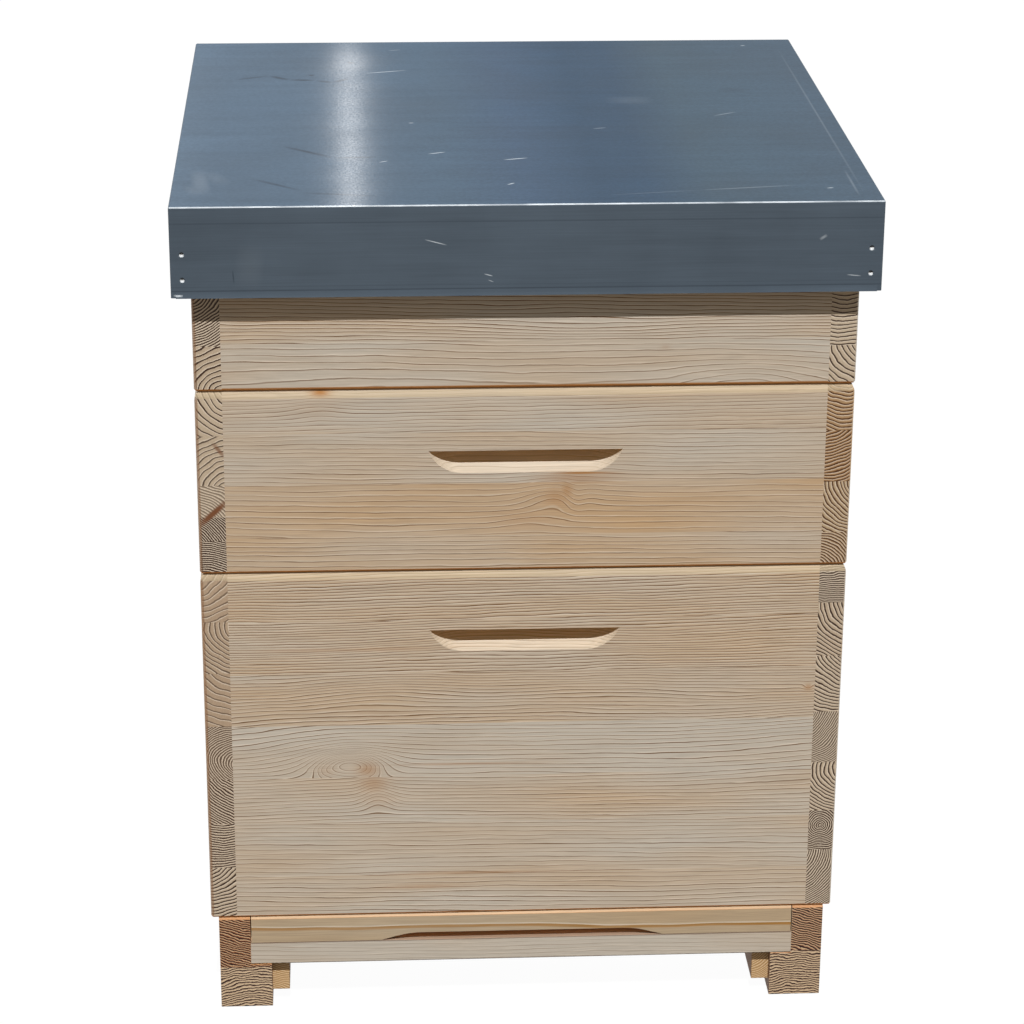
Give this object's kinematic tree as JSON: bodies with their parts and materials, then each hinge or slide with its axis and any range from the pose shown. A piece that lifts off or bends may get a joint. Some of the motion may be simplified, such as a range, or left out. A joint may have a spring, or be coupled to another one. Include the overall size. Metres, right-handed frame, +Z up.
{
  "type": "beehive",
  "caption": "Square wooden frame hive with mesh floor, deep brood box, shallow super, rim and flat metal roof; boxes and frames lift off and a tray slides out.",
  "frame": {"origin": "on the ground under the middle of the hive", "axes": "+X to the right seen from the front, +Y from the entrance to the back, +Z up"},
  "size_m": [0.57, 0.573, 0.7298],
  "materials": {
    "pine": "planed, untreated pine",
    "frame_wood": "planed lime wood",
    "inner_wood": "planed pine board",
    "roof_wood": "sawn pine",
    "roof_metal": "satin blue-grey coated steel sheet",
    "galvanised_sheet": "galvanised sheet",
    "wire_mesh": "galvanised wire",
    "zinc_fasteners": "zinc plated"
  },
  "bodies": {
    "floor": {"floor_rail_left": "pine", "floor_rail_right": "pine", "floor_sill": "pine", "floor_rear_bar": "pine", "floor_mesh": "wire_mesh", "floor_screws": "zinc_fasteners", "tray_runner_left": "pine", "tray_runner_right": "pine"},
    "entrance_block": {"entrance_block": "pine"},
    "varroa_tray": {"varroa_tray": "galvanised_sheet", "tray_pull": "pine"},
    "brood_box": {"brood_front": "pine", "brood_rear": "pine", "brood_left": "pine", "brood_right": "pine", "brood_frame_rests": "galvanised_sheet", "brood_screws": "zinc_fasteners"},
    "super": {"super_front": "pine", "super_rear": "pine", "super_left": "pine", "super_right": "pine", "super_frame_rests": "galvanised_sheet", "super_screws": "zinc_fasteners"},
    "crown_board": {"crown_board": "inner_wood"},
    "rim": {"rim_front": "pine", "rim_rear": "pine", "rim_left": "pine", "rim_right": "pine", "rim_screws": "zinc_fasteners"},
    "roof": {"roof_sheet": "roof_metal", "roof_panel": "roof_wood", "roof_liner_front": "roof_wood", "roof_liner_rear": "roof_wood", "roof_liner_left": "roof_wood", "roof_liner_right": "roof_wood", "roof_nails": "zinc_fasteners"},
    "brood_frame_1": {"brood_frame_1": "frame_wood"},
    "brood_frame_2": {"brood_frame_2": "frame_wood"},
    "brood_frame_3": {"brood_frame_3": "frame_wood"},
    "brood_frame_4": {"brood_frame_4": "frame_wood"},
    "brood_frame_5": {"brood_frame_5": "frame_wood"},
    "brood_frame_6": {"brood_frame_6": "frame_wood"},
    "brood_frame_7": {"brood_frame_7": "frame_wood"},
    "brood_frame_8": {"brood_frame_8": "frame_wood"},
    "brood_frame_9": {"brood_frame_9": "frame_wood"},
    "brood_frame_10": {"brood_frame_10": "frame_wood"},
    "brood_frame_11": {"brood_frame_11": "frame_wood"},
    "brood_frame_12": {"brood_frame_12": "frame_wood"},
    "super_frame_1": {"super_frame_1": "frame_wood"},
    "super_frame_2": {"super_frame_2": "frame_wood"},
    "super_frame_3": {"super_frame_3": "frame_wood"},
    "super_frame_4": {"super_frame_4": "frame_wood"},
    "super_frame_5": {"super_frame_5": "frame_wood"},
    "super_frame_6": {"super_frame_6": "frame_wood"},
    "super_frame_7": {"super_frame_7": "frame_wood"},
    "super_frame_8": {"super_frame_8": "frame_wood"},
    "super_frame_9": {"super_frame_9": "frame_wood"},
    "super_frame_10": {"super_frame_10": "frame_wood"},
    "super_frame_11": {"super_frame_11": "frame_wood"},
    "super_frame_12": {"super_frame_12": "frame_wood"}
  },
  "joints": [
    {"name": "entrance_slide", "type": "slide", "parent": "floor", "child": "entrance_block", "axis": [0, -1, 0], "range_m": [0, 0.1]},
    {"name": "tray_slide", "type": "slide", "parent": "floor", "child": "varroa_tray", "axis": [0, 1, 0], "range_m": [0, 0.45]},
    {"name": "brood_lift", "type": "slide", "parent": "floor", "child": "brood_box", "axis": [0, 0, 1], "range_m": [0, 0.15]},
    {"name": "super_lift", "type": "slide", "parent": "brood_box", "child": "super", "axis": [0, 0, 1], "range_m": [0, 0.36]},
    {"name": "crown_lift", "type": "slide", "parent": "super", "child": "crown_board", "axis": [0, 0, 1], "range_m": [0, 0.2]},
    {"name": "rim_lift", "type": "slide", "parent": "crown_board", "child": "rim", "axis": [0, 0, 1], "range_m": [0, 0.12]},
    {"name": "roof_lift", "type": "slide", "parent": "rim", "child": "roof", "axis": [0, 0, 1], "range_m": [0, 0.15]},
    {"name": "brood_frame_1_lift", "type": "slide", "parent": "brood_box", "child": "brood_frame_1", "axis": [0, 0, 1], "range_m": [0, 0.324]},
    {"name": "brood_frame_2_lift", "type": "slide", "parent": "brood_box", "child": "brood_frame_2", "axis": [0, 0, 1], "range_m": [0, 0.324]},
    {"name": "brood_frame_3_lift", "type": "slide", "parent": "brood_box", "child": "brood_frame_3", "axis": [0, 0, 1], "range_m": [0, 0.324]},
    {"name": "brood_frame_4_lift", "type": "slide", "parent": "brood_box", "child": "brood_frame_4", "axis": [0, 0, 1], "range_m": [0, 0.324]},
    {"name": "brood_frame_5_lift", "type": "slide", "parent": "brood_box", "child": "brood_frame_5", "axis": [0, 0, 1], "range_m": [0, 0.324]},
    {"name": "brood_frame_6_lift", "type": "slide", "parent": "brood_box", "child": "brood_frame_6", "axis": [0, 0, 1], "range_m": [0, 0.324]},
    {"name": "brood_frame_7_lift", "type": "slide", "parent": "brood_box", "child": "brood_frame_7", "axis": [0, 0, 1], "range_m": [0, 0.324]},
    {"name": "brood_frame_8_lift", "type": "slide", "parent": "brood_box", "child": "brood_frame_8", "axis": [0, 0, 1], "range_m": [0, 0.324]},
    {"name": "brood_frame_9_lift", "type": "slide", "parent": "brood_box", "child": "brood_frame_9", "axis": [0, 0, 1], "range_m": [0, 0.324]},
    {"name": "brood_frame_10_lift", "type": "slide", "parent": "brood_box", "child": "brood_frame_10", "axis": [0, 0, 1], "range_m": [0, 0.324]},
    {"name": "brood_frame_11_lift", "type": "slide", "parent": "brood_box", "child": "brood_frame_11", "axis": [0, 0, 1], "range_m": [0, 0.324]},
    {"name": "brood_frame_12_lift", "type": "slide", "parent": "brood_box", "child": "brood_frame_12", "axis": [0, 0, 1], "range_m": [0, 0.324]},
    {"name": "super_frame_1_lift", "type": "slide", "parent": "super", "child": "super_frame_1", "axis": [0, 0, 1], "range_m": [0, 0.16]},
    {"name": "super_frame_2_lift", "type": "slide", "parent": "super", "child": "super_frame_2", "axis": [0, 0, 1], "range_m": [0, 0.16]},
    {"name": "super_frame_3_lift", "type": "slide", "parent": "super", "child": "super_frame_3", "axis": [0, 0, 1], "range_m": [0, 0.16]},
    {"name": "super_frame_4_lift", "type": "slide", "parent": "super", "child": "super_frame_4", "axis": [0, 0, 1], "range_m": [0, 0.16]},
    {"name": "super_frame_5_lift", "type": "slide", "parent": "super", "child": "super_frame_5", "axis": [0, 0, 1], "range_m": [0, 0.16]},
    {"name": "super_frame_6_lift", "type": "slide", "parent": "super", "child": "super_frame_6", "axis": [0, 0, 1], "range_m": [0, 0.16]},
    {"name": "super_frame_7_lift", "type": "slide", "parent": "super", "child": "super_frame_7", "axis": [0, 0, 1], "range_m": [0, 0.16]},
    {"name": "super_frame_8_lift", "type": "slide", "parent": "super", "child": "super_frame_8", "axis": [0, 0, 1], "range_m": [0, 0.16]},
    {"name": "super_frame_9_lift", "type": "slide", "parent": "super", "child": "super_frame_9", "axis": [0, 0, 1], "range_m": [0, 0.16]},
    {"name": "super_frame_10_lift", "type": "slide", "parent": "super", "child": "super_frame_10", "axis": [0, 0, 1], "range_m": [0, 0.16]},
    {"name": "super_frame_11_lift", "type": "slide", "parent": "super", "child": "super_frame_11", "axis": [0, 0, 1], "range_m": [0, 0.16]},
    {"name": "super_frame_12_lift", "type": "slide", "parent": "super", "child": "super_frame_12", "axis": [0, 0, 1], "range_m": [0, 0.16]}
  ],
  "couplings": [
    {"joint": "brood_frame_1_lift", "follows": "super_lift", "ratio": 0.9},
    {"joint": "brood_frame_2_lift", "follows": "super_lift", "ratio": 0.9},
    {"joint": "brood_frame_3_lift", "follows": "super_lift", "ratio": 0.9},
    {"joint": "brood_frame_4_lift", "follows": "super_lift", "ratio": 0.9},
    {"joint": "brood_frame_5_lift", "follows": "super_lift", "ratio": 0.9},
    {"joint": "brood_frame_6_lift", "follows": "super_lift", "ratio": 0.9},
    {"joint": "brood_frame_7_lift", "follows": "super_lift", "ratio": 0.9},
    {"joint": "brood_frame_8_lift", "follows": "super_lift", "ratio": 0.9},
    {"joint": "brood_frame_9_lift", "follows": "super_lift", "ratio": 0.9},
    {"joint": "brood_frame_10_lift", "follows": "super_lift", "ratio": 0.9},
    {"joint": "brood_frame_11_lift", "follows": "super_lift", "ratio": 0.9},
    {"joint": "brood_frame_12_lift", "follows": "super_lift", "ratio": 0.9},
    {"joint": "super_frame_1_lift", "follows": "crown_lift", "ratio": 0.8},
    {"joint": "super_frame_2_lift", "follows": "crown_lift", "ratio": 0.8},
    {"joint": "super_frame_3_lift", "follows": "crown_lift", "ratio": 0.8},
    {"joint": "super_frame_4_lift", "follows": "crown_lift", "ratio": 0.8},
    {"joint": "super_frame_5_lift", "follows": "crown_lift", "ratio": 0.8},
    {"joint": "super_frame_6_lift", "follows": "crown_lift", "ratio": 0.8},
    {"joint": "super_frame_7_lift", "follows": "crown_lift", "ratio": 0.8},
    {"joint": "super_frame_8_lift", "follows": "crown_lift", "ratio": 0.8},
    {"joint": "super_frame_9_lift", "follows": "crown_lift", "ratio": 0.8},
    {"joint": "super_frame_10_lift", "follows": "crown_lift", "ratio": 0.8},
    {"joint": "super_frame_11_lift", "follows": "crown_lift", "ratio": 0.8},
    {"joint": "super_frame_12_lift", "follows": "crown_lift", "ratio": 0.8}
  ]
}
